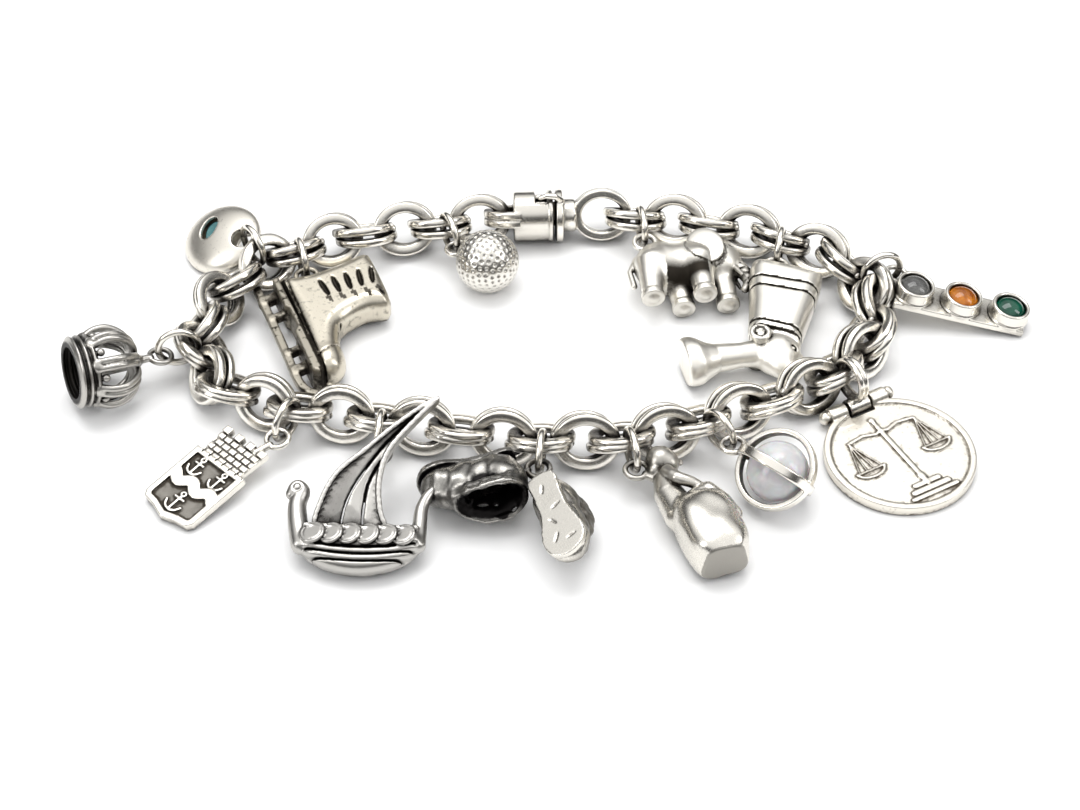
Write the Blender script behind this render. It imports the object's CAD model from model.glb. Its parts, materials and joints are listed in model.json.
import json
import math
import bpy
import numpy as np
import openvdb
from mathutils import Euler, Matrix, Vector


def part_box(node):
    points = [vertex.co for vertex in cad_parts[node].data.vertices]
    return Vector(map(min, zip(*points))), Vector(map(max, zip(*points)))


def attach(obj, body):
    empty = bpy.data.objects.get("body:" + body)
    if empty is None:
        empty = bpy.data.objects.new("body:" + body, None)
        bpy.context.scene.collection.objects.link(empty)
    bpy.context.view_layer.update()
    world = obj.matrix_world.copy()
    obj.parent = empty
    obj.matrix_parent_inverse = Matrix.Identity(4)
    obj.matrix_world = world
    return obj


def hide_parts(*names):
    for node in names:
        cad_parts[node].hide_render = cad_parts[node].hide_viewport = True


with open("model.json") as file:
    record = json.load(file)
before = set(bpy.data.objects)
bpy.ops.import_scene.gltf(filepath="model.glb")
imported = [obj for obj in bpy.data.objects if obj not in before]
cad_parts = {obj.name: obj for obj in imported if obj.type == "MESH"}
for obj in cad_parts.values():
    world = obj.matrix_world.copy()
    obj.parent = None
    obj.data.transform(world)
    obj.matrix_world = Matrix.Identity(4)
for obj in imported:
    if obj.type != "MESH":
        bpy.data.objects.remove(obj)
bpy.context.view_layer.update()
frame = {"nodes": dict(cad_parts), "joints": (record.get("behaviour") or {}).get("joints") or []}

# ---------- Camera ----------
# The camera stands in front of the loop and looks down on it at 45 degrees,
# as one looks at jewellery on a table.

VIEW_DISTANCE = 0.26
VIEW_SLOPE = math.radians(45)
lens = bpy.data.cameras.new("camera")
lens.lens = 72.8
lens.sensor_width = 36
lens.clip_start = 0.01
camera = bpy.data.objects.new("camera", lens)
bpy.context.scene.collection.objects.link(camera)
camera.location = (
    -0.0016,
    -0.0030 - VIEW_DISTANCE * math.cos(VIEW_SLOPE),
    VIEW_DISTANCE * math.sin(VIEW_SLOPE),
)
camera.rotation_euler = (math.radians(90) - VIEW_SLOPE, 0, 0)
bpy.context.scene.camera = camera
bpy.context.scene.view_settings.view_transform = "Standard"

# ---------- Table and light ----------
# A white table top and a light tent: one large soft panel overhead, one at each side,
# and air that is pale above and dark near the table, so that the silver has something dark to mirror.

table_mesh = bpy.data.meshes.new("table_top")
table_mesh.from_pydata([(-3, -3, 0), (3, -3, 0), (3, 3, 0), (-3, 3, 0)], [], [(0, 1, 2, 3)])
table_top = bpy.data.objects.new("table_top", table_mesh)
bpy.context.scene.collection.objects.link(table_top)
white_card = bpy.data.materials.new("white_card")
white_card.use_nodes = True
card_shader = white_card.node_tree.nodes["Principled BSDF"]
card_shader.inputs["Base Color"].default_value = (0.93, 0.93, 0.93, 1)
card_shader.inputs["Roughness"].default_value = 0.9
card_shader.inputs["Specular IOR Level"].default_value = 0.1
table_mesh.materials.append(white_card)


def soft_panel(name, place, size, power, aim=(0, 0, 0)):
    """A rectangular studio light at a place, facing the bracelet."""
    light = bpy.data.lights.new(name, "AREA")
    light.shape = "RECTANGLE"
    light.size, light.size_y = size
    light.energy = power
    lamp = bpy.data.objects.new(name, light)
    bpy.context.scene.collection.objects.link(lamp)
    lamp.location = place
    lamp.rotation_euler = (Vector(aim) - Vector(place)).to_track_quat("-Z", "Y").to_euler()


soft_panel("overhead_panel", (-0.05, 0.16, 0.55), (0.5, 0.3), 1.8)
soft_panel("left_panel", (-0.5, -0.25, 0.3), (0.2, 0.35), 0.9)
soft_panel("right_panel", (0.5, -0.1, 0.35), (0.15, 0.35), 0.7)

tent = bpy.data.worlds.new("light_tent")
bpy.context.scene.world = tent
tent.use_nodes = True
tent_nodes = tent.node_tree
direction = tent_nodes.nodes.new("ShaderNodeTexCoord")
height = tent_nodes.nodes.new("ShaderNodeSeparateXYZ")
shade = tent_nodes.nodes.new("ShaderNodeValToRGB")
tent_nodes.links.new(direction.outputs["Generated"], height.inputs[0])
tent_nodes.links.new(height.outputs["Z"], shade.inputs[0])
bands = shade.color_ramp.elements
bands[1].position = 0.9
bands.new(0.38)
bands.new(0.62)
for band, grey in zip(bands, (0.03, 0.11, 0.97, 1.1)):
    band.color = (grey, grey, grey, 1)
tent_nodes.links.new(shade.outputs[0], tent_nodes.nodes["Background"].inputs["Color"])
tent_nodes.nodes["Background"].inputs["Strength"].default_value = 1.0

# ---------- Chain links ----------
# Twenty links of solid silver. Each is two pairs of flattened oval rings, soldered into each other
# at right angles, and each pair is looped through the next link's. Years of wear have polished
# the faces and left the hollows dark.

MM = 0.001
PAIR_DISTANCE = 5.2 * MM
RING_LENGTH = 7.9 * MM
RING_WIDTH = 6.9 * MM
RING_WALL = 1.42 * MM
RING_DEPTH = 1.0 * MM
RING_EDGE = 0.34 * MM  # radius that the rings' corners are worn to
RINGS_APART = 1.02 * MM
RINGS_SLIP = 0.16 * MM  # how far the rings of a pair lie shifted along the link
SPLAY = 5  # degrees that each ring of a pair opens away from its fellow
LEAN = 15  # degrees that links lean over towards the front
SOLDER = (  # the lumps of solder where a link's two pairs meet: middle and half sizes
    ((0, 0, 0), (0.75, 1.25, 1.25)),
    ((0.95, 0, 0.75), (0.5, 0.55, 0.5)),
    ((-0.95, 0.2, 0.7), (0.45, 0.5, 0.45)),
    ((0.9, 0.1, -0.75), (0.5, 0.5, 0.5)),
)
HOLLOW_CONTRAST = 2.6
SCUFF_GLOSS = 0.08
TARNISH_DULLING = 0.25


def put(tree, kind, **values):
    """A node in a tree. A value that is an output socket is linked, and any other is set."""
    node = tree.nodes.new(kind)
    for key, value in values.items():
        socket_name = key.replace("_", " ")
        if hasattr(node, key) and not isinstance(value, bpy.types.NodeSocket):
            setattr(node, key, value)
            continue
        socket = next(s for s in node.inputs if s.name.lower() == socket_name.lower())
        if isinstance(value, (list, tuple)) and value and isinstance(value[0], bpy.types.NodeSocket):
            for output in value:
                tree.links.new(output, socket)
        elif isinstance(value, bpy.types.NodeSocket):
            tree.links.new(value, socket)
        else:
            socket.default_value = value
    return node


def reckon(tree, operation, *terms, clamp=False):
    """What a Math node makes of its terms, each a number or an output socket."""
    node = put(tree, "ShaderNodeMath", operation=operation, use_clamp=clamp)
    for socket, term in zip(node.inputs, terms):
        if isinstance(term, bpy.types.NodeSocket):
            tree.links.new(term, socket)
        else:
            socket.default_value = term
    return node.outputs[0]


def tarnish_group():
    """Finds the hollows that polishing misses, and breaks their edge up. Puts out how dark and how
    worn each spot is."""
    group = bpy.data.node_groups.new("tarnish", "ShaderNodeTree")
    for name, value in (
        ("Reach", 1.2 * MM),
        ("Spread", 0.6),
        ("Grain", 900.0),
        ("Mottle", 0.25),
        ("Stain", 0.0),
    ):
        socket = group.interface.new_socket(name=name, in_out="INPUT", socket_type="NodeSocketFloat")
        socket.default_value = value
    for name in ("Dark", "Scuff"):
        group.interface.new_socket(name=name, in_out="OUTPUT", socket_type="NodeSocketFloat")
    entry = group.nodes.new("NodeGroupInput").outputs
    place = put(group, "ShaderNodeTexCoord").outputs["Object"]
    hollow = put(
        group, "ShaderNodeAmbientOcclusion", samples=6, only_local=False, Distance=entry["Reach"]
    )
    mottle = put(group, "ShaderNodeTexNoise", Vector=place, Scale=entry["Grain"], Detail=3)
    scuff = put(group, "ShaderNodeTexNoise", Vector=place, Scale=4000, Detail=4)
    shut = reckon(group, "SUBTRACT", 1, hollow.outputs["AO"])
    stir = reckon(group, "SUBTRACT", mottle.outputs[0], 0.5)
    stirred = reckon(group, "MULTIPLY_ADD", stir, entry["Mottle"], shut)
    dark = reckon(group, "MULTIPLY_ADD", stirred, HOLLOW_CONTRAST, entry["Spread"], clamp=True)
    stained = reckon(group, "ADD", dark, entry["Stain"], clamp=True)
    put(group, "NodeGroupOutput", Dark=stained, Scuff=scuff.outputs[0])
    return group


tarnish = tarnish_group()


def silver(name, bright, dark, polish=0.2, reach=1.2, spread=-0.75, grain=700, mottle=0.25):
    """Silver with a polished colour, and a sulphide colour for its hollows. Spread above -1 darkens
    more of it."""
    material = bpy.data.materials.new(name)
    material.use_nodes = True
    tree = material.node_tree
    shader = tree.nodes["Principled BSDF"]
    shader.inputs["Metallic"].default_value = 1
    wear = tree.nodes.new("ShaderNodeGroup")
    wear.node_tree = tarnish
    for socket, value in (
        ("Reach", reach * MM), ("Spread", spread), ("Grain", grain), ("Mottle", mottle)
    ):
        wear.inputs[socket].default_value = value
    marks = put(tree, "ShaderNodeAttribute", attribute_name="stain")
    tree.links.new(marks.outputs["Fac"], wear.inputs["Stain"])
    colour = put(tree, "ShaderNodeMix", data_type="RGBA")
    colour.inputs["A"].default_value = (*bright, 1)
    colour.inputs["B"].default_value = (*dark, 1)
    tree.links.new(wear.outputs["Dark"], colour.inputs["Factor"])
    tree.links.new(colour.outputs["Result"], shader.inputs["Base Color"])
    gloss = reckon(tree, "MULTIPLY_ADD", wear.outputs["Scuff"], 2 * SCUFF_GLOSS, polish - SCUFF_GLOSS)
    dulled = reckon(tree, "MULTIPLY_ADD", wear.outputs["Dark"], TARNISH_DULLING, gloss)
    tree.links.new(dulled, shader.inputs["Roughness"])
    dent = put(tree, "ShaderNodeBump", Strength=0.12, Distance=0.04 * MM, Height=wear.outputs["Scuff"])
    tree.links.new(dent.outputs["Normal"], shader.inputs["Normal"])
    return material


chain_silver = silver(
    "chain_silver", (0.90, 0.865, 0.795), (0.035, 0.03, 0.024), 0.2, 2.2, -0.4, 700, 0.5
)


def node_tree(name, inputs):
    """An empty Geometry Nodes tree with named sizes and a material, and its modifier's socket for each."""
    tree = bpy.data.node_groups.new(name, "GeometryNodeTree")
    tree.interface.new_socket(name="Geometry", in_out="INPUT", socket_type="NodeSocketGeometry")
    tree.interface.new_socket(name="Geometry", in_out="OUTPUT", socket_type="NodeSocketGeometry")
    sockets = {}
    for socket_name in (*inputs, "Material"):
        kind = "NodeSocketMaterial" if socket_name == "Material" else "NodeSocketFloat"
        made = tree.interface.new_socket(name=socket_name, in_out="INPUT", socket_type=kind)
        sockets[socket_name] = made.identifier
    return tree, sockets


def grown(name, points, tree, sockets, values, turns=None):
    """A plain mesh grown from points by a tree. Turns are Euler angles, one to a point."""
    seed = bpy.data.meshes.new(name)
    seed.from_pydata([tuple(p) for p in points], [], [])
    if turns is not None:
        attribute = seed.attributes.new("turn", "FLOAT_VECTOR", "POINT")
        attribute.data.foreach_set("vector", np.array(turns, np.float32).ravel())
    carrier = bpy.data.objects.new(name + "_seed", seed)
    bpy.context.scene.collection.objects.link(carrier)
    modifier = carrier.modifiers.new("grow", "NODES")
    modifier.node_group = tree
    for key, value in values.items():
        modifier[sockets[key]] = value
    bpy.context.view_layer.update()
    evaluated = carrier.evaluated_get(bpy.context.evaluated_depsgraph_get())
    mesh = bpy.data.meshes.new_from_object(evaluated)
    bpy.data.objects.remove(carrier)
    mesh.name = name
    mesh.polygons.foreach_set("use_smooth", [True] * len(mesh.polygons))
    piece = bpy.data.objects.new(name, mesh)
    bpy.context.scene.collection.objects.link(piece)
    return piece


def lay_on_points(tree, entry, shape):
    """Ends a tree: the shape stands at each point, turned by the point's own angles, and is painted."""
    turn = put(tree, "GeometryNodeInputNamedAttribute", data_type="FLOAT_VECTOR", Name="turn")
    as_turn = put(tree, "FunctionNodeEulerToRotation", Euler=turn.outputs[0])
    laid = put(
        tree,
        "GeometryNodeInstanceOnPoints",
        Points=entry["Geometry"],
        Instance=shape.outputs[0],
        Rotation=as_turn.outputs[0],
    )
    paint(tree, entry, laid)


def paint(tree, entry, shape):
    """Ends a tree: a real mesh in its material."""
    real = put(tree, "GeometryNodeRealizeInstances", Geometry=shape.outputs[0])
    painted = put(tree, "GeometryNodeSetMaterial", Geometry=real.outputs[0], Material=entry["Material"])
    put(tree, "NodeGroupOutput", Geometry=painted.outputs[0])


def link_frame(node):
    """The middle of a CAD link and the line that it lies along, read off its solid."""
    mesh = frame["nodes"][node].data
    corners = np.array([v.co for v in mesh.vertices], float)
    faces = np.array([p.vertices for p in mesh.polygons])
    a, b, c = (corners[faces[:, i]] for i in range(3))
    area = np.linalg.norm(np.cross(b - a, c - a), axis=1) / 2
    thirds = (a + b + c) / 3
    middle = (thirds * area[:, None]).sum(0) / area.sum()
    spread = np.zeros((3, 3))
    for part, share in ((a, 1), (b, 1), (c, 1), (thirds, 9)):
        spread += ((part - middle) * area[:, None] * share / 12).T @ (part - middle)
    along = np.linalg.eigh(spread)[1][:, 2]
    return middle, along


LINKS = [f"link_{i + 1:02d}" for i in range(20)]
read = [link_frame(name) for name in LINKS]
link_places, link_turns = [], []
for index, (middle, along) in enumerate(read):
    ahead = read[(index + 1) % len(read)][0] - middle
    if along @ ahead < 0:
        along = -along
    heading = math.atan2(along[1], along[0])
    lean = math.radians(LEAN * math.cos(heading))
    link_places.append(middle)
    link_turns.append((lean, 0, heading))


link_tree, link_inputs = node_tree(
    "chain_link", ("Ring length", "Ring width", "Wall", "Depth", "Apart", "Splay", "Pair distance")
)
entry = link_tree.nodes.new("NodeGroupInput").outputs
oval_size = put(
    link_tree,
    "ShaderNodeCombineXYZ",
    X=reckon(link_tree, "SUBTRACT", entry["Ring length"], entry["Wall"]),
    Y=reckon(link_tree, "SUBTRACT", entry["Ring width"], entry["Wall"]),
    Z=1.0,
)
circle = put(link_tree, "GeometryNodeCurvePrimitiveCircle", Resolution=44, Radius=0.5)
oval = put(link_tree, "GeometryNodeTransform", Geometry=circle.outputs[0], Scale=oval_size.outputs[0])
section = put(
    link_tree, "GeometryNodeCurvePrimitiveQuadrilateral", Width=entry["Wall"], Height=entry["Depth"]
)
soft_section = put(
    link_tree, "GeometryNodeFilletCurve", mode="POLY", Curve=section.outputs[0], Count=3, Radius=RING_EDGE
)
ring = put(
    link_tree,
    "GeometryNodeCurveToMesh",
    Curve=oval.outputs[0],
    Profile_Curve=soft_section.outputs[0],
)
both_rings = []
for way in (1, -1):
    rise = reckon(link_tree, "MULTIPLY", entry["Apart"], way * 0.5)
    shift = put(link_tree, "ShaderNodeCombineXYZ", X=way * RINGS_SLIP, Z=rise)
    opened = reckon(link_tree, "MULTIPLY", entry["Splay"], way)
    splay = put(link_tree, "ShaderNodeCombineXYZ", X=opened)
    moved = put(
        link_tree,
        "GeometryNodeTransform",
        Geometry=ring.outputs[0],
        Translation=shift.outputs[0],
        Rotation=splay.outputs[0],
    )
    both_rings.append(moved.outputs[0])
pair = put(link_tree, "GeometryNodeJoinGeometry", Geometry=both_rings)
parts = []
for way in (-1, 1):
    reach = reckon(link_tree, "MULTIPLY", entry["Pair distance"], way * 0.5)
    shift = put(link_tree, "ShaderNodeCombineXYZ", X=reach)
    turned_pair = put(
        link_tree,
        "GeometryNodeTransform",
        Geometry=pair.outputs[0],
        Translation=shift.outputs[0],
        Rotation=(math.radians(way * 45), 0, 0),
    )
    parts.append(turned_pair.outputs[0])
lump = put(link_tree, "GeometryNodeMeshIcoSphere", Radius=1.0, Subdivisions=3)
for centre, size in SOLDER:
    solder = put(
        link_tree,
        "GeometryNodeTransform",
        Geometry=lump.outputs[0],
        Translation=tuple(v * MM for v in centre),
        Scale=tuple(v * MM for v in size),
    )
    parts.append(solder.outputs[0])
lay_on_points(link_tree, entry, put(link_tree, "GeometryNodeJoinGeometry", Geometry=parts))

chain = grown(
    "chain_links",
    link_places,
    link_tree,
    link_inputs,
    {
        "Ring length": RING_LENGTH,
        "Ring width": RING_WIDTH,
        "Wall": RING_WALL,
        "Depth": RING_DEPTH,
        "Apart": RINGS_APART,
        "Splay": math.radians(SPLAY),
        "Pair distance": PAIR_DISTANCE,
        "Material": chain_silver,
    },
    link_turns,
)
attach(chain, "bracelet")
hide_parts(*LINKS)


# ---------- Box clasp ----------
# A small barrel-shaped box of sheet silver takes a folded spring tongue, and a thick plate closes
# its mouth. The box ends in half a link, and the plate carries the last pair of rings.

CLASP_PLACE = (0.386, 27.997, 3.343)  # where the plate closes the box, in millimetres
CLASP_TURN = -177.52  # the heading of the box in degrees
LOOP_RADIUS, LOOP_WIRE = 1.3, 0.33  # of the loop that each charm hangs by, in millimetres


class Wax:
    """A model carved in wax on a fine grid, in millimetres, before it is cast in silver."""

    def __init__(self, low, high, grain=0.1):
        self.grain = grain
        self.low = np.array(low, np.float32)
        spans = [np.arange(a, b, grain, dtype=np.float32) for a, b in zip(low, high)]
        self.p = np.meshgrid(*spans, indexing="ij")
        self.depth = np.full(self.p[0].shape, 5, np.float32)

    def add(self, form, soft=0.15):
        """Joins a form on, with a fillet."""
        share = np.clip(0.5 + 0.5 * (self.depth - form) / soft, 0, 1)
        self.depth = self.depth * (1 - share) + form * share - soft * share * (1 - share)

    def cut(self, form, soft=0.1):
        """Cuts a form away, with a rounded edge."""
        share = np.clip(0.5 - 0.5 * (self.depth + form) / soft, 0, 1)
        self.depth = self.depth * (1 - share) - form * share + soft * share * (1 - share)

    def lump(self, centre, radii, soft, turn=None):
        """Joins an egg on."""
        self.add(egg(at(self.p, centre, turn), radii), soft)

    def pit(self, centre, radii, soft, turn=None):
        """Cuts an egg away."""
        self.cut(egg(at(self.p, centre, turn), radii), soft)

    def bar(self, points, radii, soft):
        """Joins a round bar on."""
        self.add(rod(self.p, points, radii), soft)

    def loop(self, soft=0.1):
        """Joins on the loop that the charm hangs by, round the grid's zero."""
        self.add(hoop(self.p, LOOP_RADIUS, LOOP_WIRE), soft)

    def press(self, amount):
        """Sinks the surface by an amount that may differ from place to place."""
        self.depth = self.depth + amount

    def cast(self, name, place, heading, fall, roll, material, slot, nodes, body="bracelet", stain=0):
        """The finished charm, hung at a place in metres and turned by degrees. Stain says where it
        stays dark."""
        band = 3 * self.grain
        grid = openvdb.FloatGrid(band)
        grid.copyFromArray(np.clip(self.depth, -band, band))
        points, quads = grid.convertToQuads()
        crowd = np.clip(0.5 - self.depth / self.grain, 0, 1)
        for axis in (0, 1, 2, 0, 1, 2):
            run = np.cumsum(crowd, axis=axis, dtype=np.float32)
            crowd = (np.roll(run, -3, axis) - np.roll(run, 4, axis)) / 7
        darkness = np.clip((crowd - 0.56) * 5, 0, 1) + stain
        spots = np.clip(np.rint(points).astype(int), 0, np.array(self.depth.shape) - 1)
        darkness = darkness[spots[:, 0], spots[:, 1], spots[:, 2]]
        points = points * self.grain + self.low
        turn = turned_by(heading, fall, roll)
        points = points @ turn.T * MM + np.array(place)
        a, b, c, d = (points[quads[:, i]] for i in range(4))
        if np.einsum("ij,ij->", a, np.cross(b, c)) + np.einsum("ij,ij->", a, np.cross(c, d)) < 0:
            quads = quads[:, ::-1]
        piece = finished(name, points, quads, material, nodes, body)
        marks = piece.data.attributes.new("stain", "FLOAT", "POINT")
        marks.data.foreach_set("value", np.clip(darkness, 0, 1).astype(np.float32))
        return piece


def turned_by(heading, fall=0, roll=0):
    """The turn of a charm by degrees: it rolls, then falls below level, then takes its heading."""
    angles = (math.radians(roll), math.radians(fall), math.radians(heading))
    return np.array(Euler(angles, "XYZ").to_matrix())


def finished(name, points, faces, material, nodes, body):
    """A charm's mesh as a piece on a body, in place of its CAD nodes."""
    mesh = bpy.data.meshes.new(name)
    mesh.from_pydata(points.tolist(), [], faces.tolist())
    mesh.update()
    mesh.polygons.foreach_set("use_smooth", [True] * len(mesh.polygons))
    mesh.materials.append(material)
    piece = bpy.data.objects.new(name, mesh)
    bpy.context.scene.collection.objects.link(piece)
    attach(piece, body)
    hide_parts(*nodes)
    return piece


def at(p, centre=(0, 0, 0), turn=None):
    """Grid places as seen from a centre, turned by degrees about X, Y and Z."""
    q = [a - b for a, b in zip(p, centre)]
    if turn is None:
        return q
    m = np.array(Euler([math.radians(v) for v in turn], "XYZ").to_matrix(), np.float32)
    return [q[0] * m[0, i] + q[1] * m[1, i] + q[2] * m[2, i] for i in range(3)]


def egg(p, radii):
    """An egg with three half lengths."""
    k = [a / r for a, r in zip(p, radii)]
    far = np.sqrt(k[0] ** 2 + k[1] ** 2 + k[2] ** 2)
    steep = np.sqrt(sum((a / r) ** 2 for a, r in zip(k, radii))) + 1e-6
    return far * (far - 1) / steep


def rod(p, points, radii):
    """A round bar through points, tapering between its radii."""
    if np.isscalar(radii):
        radii = [radii] * len(points)
    best = None
    for (a, b), (ra, rb) in zip(zip(points, points[1:]), zip(radii, radii[1:])):
        a, b = np.array(a, float), np.array(b, float)
        d = b - a
        long = max(float(d @ d), 1e-9)
        t = np.clip(sum((p[i] - a[i]) * d[i] for i in range(3)) / long, 0, 1)
        off = np.sqrt(sum((p[i] - a[i] - t * d[i]) ** 2 for i in range(3)))
        off -= ra + (rb - ra) * t
        best = off if best is None else np.minimum(best, off)
    return best.astype(np.float32)


def block(p, half, edge=0.1):
    """A block with three half lengths and rounded edges."""
    q = [np.abs(a) - h + edge for a, h in zip(p, half)]
    outside = np.sqrt(sum(np.maximum(a, 0) ** 2 for a in q))
    return outside + np.minimum(np.maximum(np.maximum(q[0], q[1]), q[2]), 0) - edge


def hoop(p, radius, wire):
    """A ring of round wire about Z."""
    return np.sqrt((np.sqrt(p[0] ** 2 + p[1] ** 2) - radius) ** 2 + p[2] ** 2) - wire


def rounded(a, b, edge):
    """Two limits at right angles to each other, with the corner between them rounded."""
    return np.sqrt(
        np.maximum(a, 0) ** 2 + np.maximum(b, 0) ** 2
    ) + np.minimum(np.maximum(a, b), 0) - edge


def drum(p, radius, half, edge=0.1):
    """A round disc or bar about Z."""
    return rounded(np.sqrt(p[0] ** 2 + p[1] ** 2) - radius + edge, np.abs(p[2]) - half + edge, edge)


def flat_places(p, turned):
    """X and Y of a grid: of one layer, or of all layers where the grid is turned."""
    return (p[0], p[1]) if turned else (p[0][:, :, 0], p[1][:, :, 0])


def line_distance(x, y, points):
    """How far flat places are from a line through points."""
    near = np.full(x.shape, 1e9, np.float32)
    for (x0, y0), (x1, y1) in zip(points, points[1:]):
        dx, dy = x1 - x0, y1 - y0
        t = np.clip(((x - x0) * dx + (y - y0) * dy) / (dx * dx + dy * dy + 1e-9), 0, 1)
        near = np.minimum(near, (x - x0 - t * dx) ** 2 + (y - y0 - t * dy) ** 2)
    return np.sqrt(near)


def outline(p, corners, turned=False):
    """How far each place is from a flat outline, below zero inside it. It looks along Z."""
    x, y = flat_places(p, turned)
    ring = corners + corners[:1]
    far = line_distance(x, y, ring)
    inside = np.zeros(x.shape, bool)
    for (x0, y0), (x1, y1) in zip(ring, ring[1:]):
        crosses = (y0 > y) != (y1 > y)
        inside ^= crosses & (x < (x1 - x0) * (y - y0) / (y1 - y0 + 1e-9) + x0)
    return np.where(inside, -far, far)


def stroke(p, points, width):
    """How far each place is from a drawn line of a width."""
    return line_distance(*flat_places(p, False), points) - width / 2


def smooth_line(points, steps=6, closed=False):
    """A smooth curve through points."""
    pts = [np.array(v, float) for v in points]
    n = len(pts)
    get = (lambda i: pts[i % n]) if closed else (lambda i: pts[min(max(i, 0), n - 1)])
    made = []
    for i in range(n if closed else n - 1):
        a, b, c, d = get(i - 1), get(i), get(i + 1), get(i + 2)
        for s in range(steps):
            t = s / steps
            v = b * 2 + (c - a) * t + (
                2 * a - 5 * b + 4 * c - d
            ) * t**2 + (3 * b - a - 3 * c + d) * t**3
            made.append(tuple(v / 2))
    if not closed:
        made.append(tuple(pts[-1]))
    return made


def slab(p, flat, low, high, edge=0.15):
    """A flat outline given thickness, with rounded edges."""
    return rounded(
        flat[:, :, None] + edge, np.abs(p[2] - (low + high) / 2) - (high - low) / 2 + edge, edge
    )


def middle_of(node):
    """The middle of a CAD node's box, in metres."""
    low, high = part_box(node)
    return np.array((low + high) / 2)


def oval_tube(p, width, height, start, end, edge):
    """A bar of an oval section along X."""
    ry, rz = width / 2, height / 2
    k = np.sqrt((p[1] / ry) ** 2 + (p[2] / rz) ** 2)
    steep = np.sqrt((p[1] / ry**2) ** 2 + (p[2] / rz**2) ** 2) + 1e-6
    ends = np.abs(p[0] - (start + end) / 2) - (end - start) / 2
    return rounded(k * (k - 1) / steep + edge, ends + edge, edge)


def oval_rings(p, along, tilt):
    """A pair of flattened oval rings, as the links have."""
    made = None
    for rise in (-0.51, 0.51):
        q = at(p, (along, 0, 0), (tilt, 0, 0))
        q[2] = q[2] - rise
        k = np.sqrt((q[0] / 3.2) ** 2 + (q[1] / 2.75) ** 2)
        steep = np.sqrt((q[0] / 3.2**2) ** 2 + (q[1] / 2.75**2) ** 2) + 1e-6
        ring = rounded(np.abs(k * (k - 1) / steep) - 0.6 + 0.3, np.abs(q[2]) - 0.5 + 0.3, 0.3)
        made = ring if made is None else np.minimum(made, ring)
    return made


clasp_middle = np.array(CLASP_PLACE) * MM
clasp_lean = LEAN * math.cos(math.radians(CLASP_TURN))
box_wax = Wax((-0.5, -4.2, -4.2), (9.6, 4.2, 4.2), 0.1)
half_link = np.maximum(oval_rings(box_wax.p, 5.4, 45), 4.6 - box_wax.p[0])
box_wax.add(oval_tube(box_wax.p, 6.2, 6.8, 0.4, 5.4, 0.3))
box_wax.cut(oval_tube(box_wax.p, 4.6, 5.2, -1, 4.6, 0.1))
box_wax.add(oval_tube(box_wax.p, 6.5, 7.1, 0.4, 1.0, 0.2), 0.05)
box_wax.add(half_link, 0.3)
box_wax.cut(
    slab(box_wax.p, outline(box_wax.p, [(1.2, -4), (2.6, -4), (2.6, 0.4), (1.2, 0.4)]), 0.5, 5), 0.2
)
box_wax.cast(
    "clasp_case", clasp_middle, CLASP_TURN, 0, clasp_lean, chain_silver, "silver", ["clasp_box"], stain=0.12
)
tongue_wax = Wax((-10.2, -4.2, -4.2), (4.2, 4.2, 5.2), 0.1)
tongue_wax.add(oval_tube(tongue_wax.p, 6.8, 6.8, -0.9, 0, 0.2))
tongue_wax.add(oval_tube(tongue_wax.p, 4.2, 4.2, -2.6, -0.6, 0.4), 0.3)
tongue_wax.add(oval_rings(tongue_wax.p, -5.9, -45), 0.3)
tongue_wax.add(block(at(tongue_wax.p, (1.7, 0, 1.0)), (1.9, 1.3, 0.3)), 0.05)
tongue_wax.add(block(at(tongue_wax.p, (1.6, 0, -0.6), (0, 12, 0)), (1.8, 1.3, 0.25)), 0.05)
curl = [(-0.6, 0, 3.2), (0.1, 0, 4.1), (1.2, 0, 4.3), (2.0, 0, 3.9)]
tongue_wax.bar(curl, [0.5, 0.4, 0.35, 0.3], 0.2)
tongue_wax.cast(
    "clasp_spring", clasp_middle, CLASP_TURN, 0, clasp_lean, chain_silver, "silver", ["clasp_tongue"]
)

# ---------- Jump rings ----------
# Open rings of round drawn wire, closed over the chain and through each charm's loop.
# They're cut and bent, and not soldered.

JUMP_RADIUS = 2.4
JUMP_WIRE = 0.42
JUMP_GAP = 0.004  # the cut in the ring, as a share of its round at each side
HANGINGS = {  # the heading in degrees in which each charm's ring hangs out from the chain
    "crown": -165,
    "shield": -118,
    "ship": -95,
    "shoes": -97,
    "figure": -76,
    "orb": -52,
    "bar": 16,
    "bust": -103,
    "elephant": -82,
    "ball": -65,
    "palette": 126,
    "skate": -72,
}
wire_tree, wire_inputs = node_tree("jump_rings", ("Radius", "Wire"))
entry = wire_tree.nodes.new("NodeGroupInput").outputs
round_path = put(wire_tree, "GeometryNodeCurvePrimitiveCircle", Resolution=48, Radius=entry["Radius"])
wire_section = put(wire_tree, "GeometryNodeCurvePrimitiveCircle", Resolution=14, Radius=entry["Wire"])
open_ring = put(
    wire_tree, "GeometryNodeTrimCurve", Curve=round_path.outputs[0], Start=JUMP_GAP, End=1 - JUMP_GAP
)
bent = put(
    wire_tree,
    "GeometryNodeCurveToMesh",
    Curve=open_ring.outputs[0],
    Profile_Curve=wire_section.outputs[0],
    Fill_Caps=True,
)
lay_on_points(wire_tree, entry, bent)
wires = grown(
    "jump_wires",
    [middle_of("jump_ring_" + name) for name in HANGINGS],
    wire_tree,
    wire_inputs,
    {"Radius": JUMP_RADIUS * MM, "Wire": JUMP_WIRE * MM, "Material": chain_silver},
    [(math.radians(90), 0, math.radians(heading)) for heading in HANGINGS.values()],
)
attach(wires, "bracelet")
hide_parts(*["jump_ring_" + name for name in HANGINGS])


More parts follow.
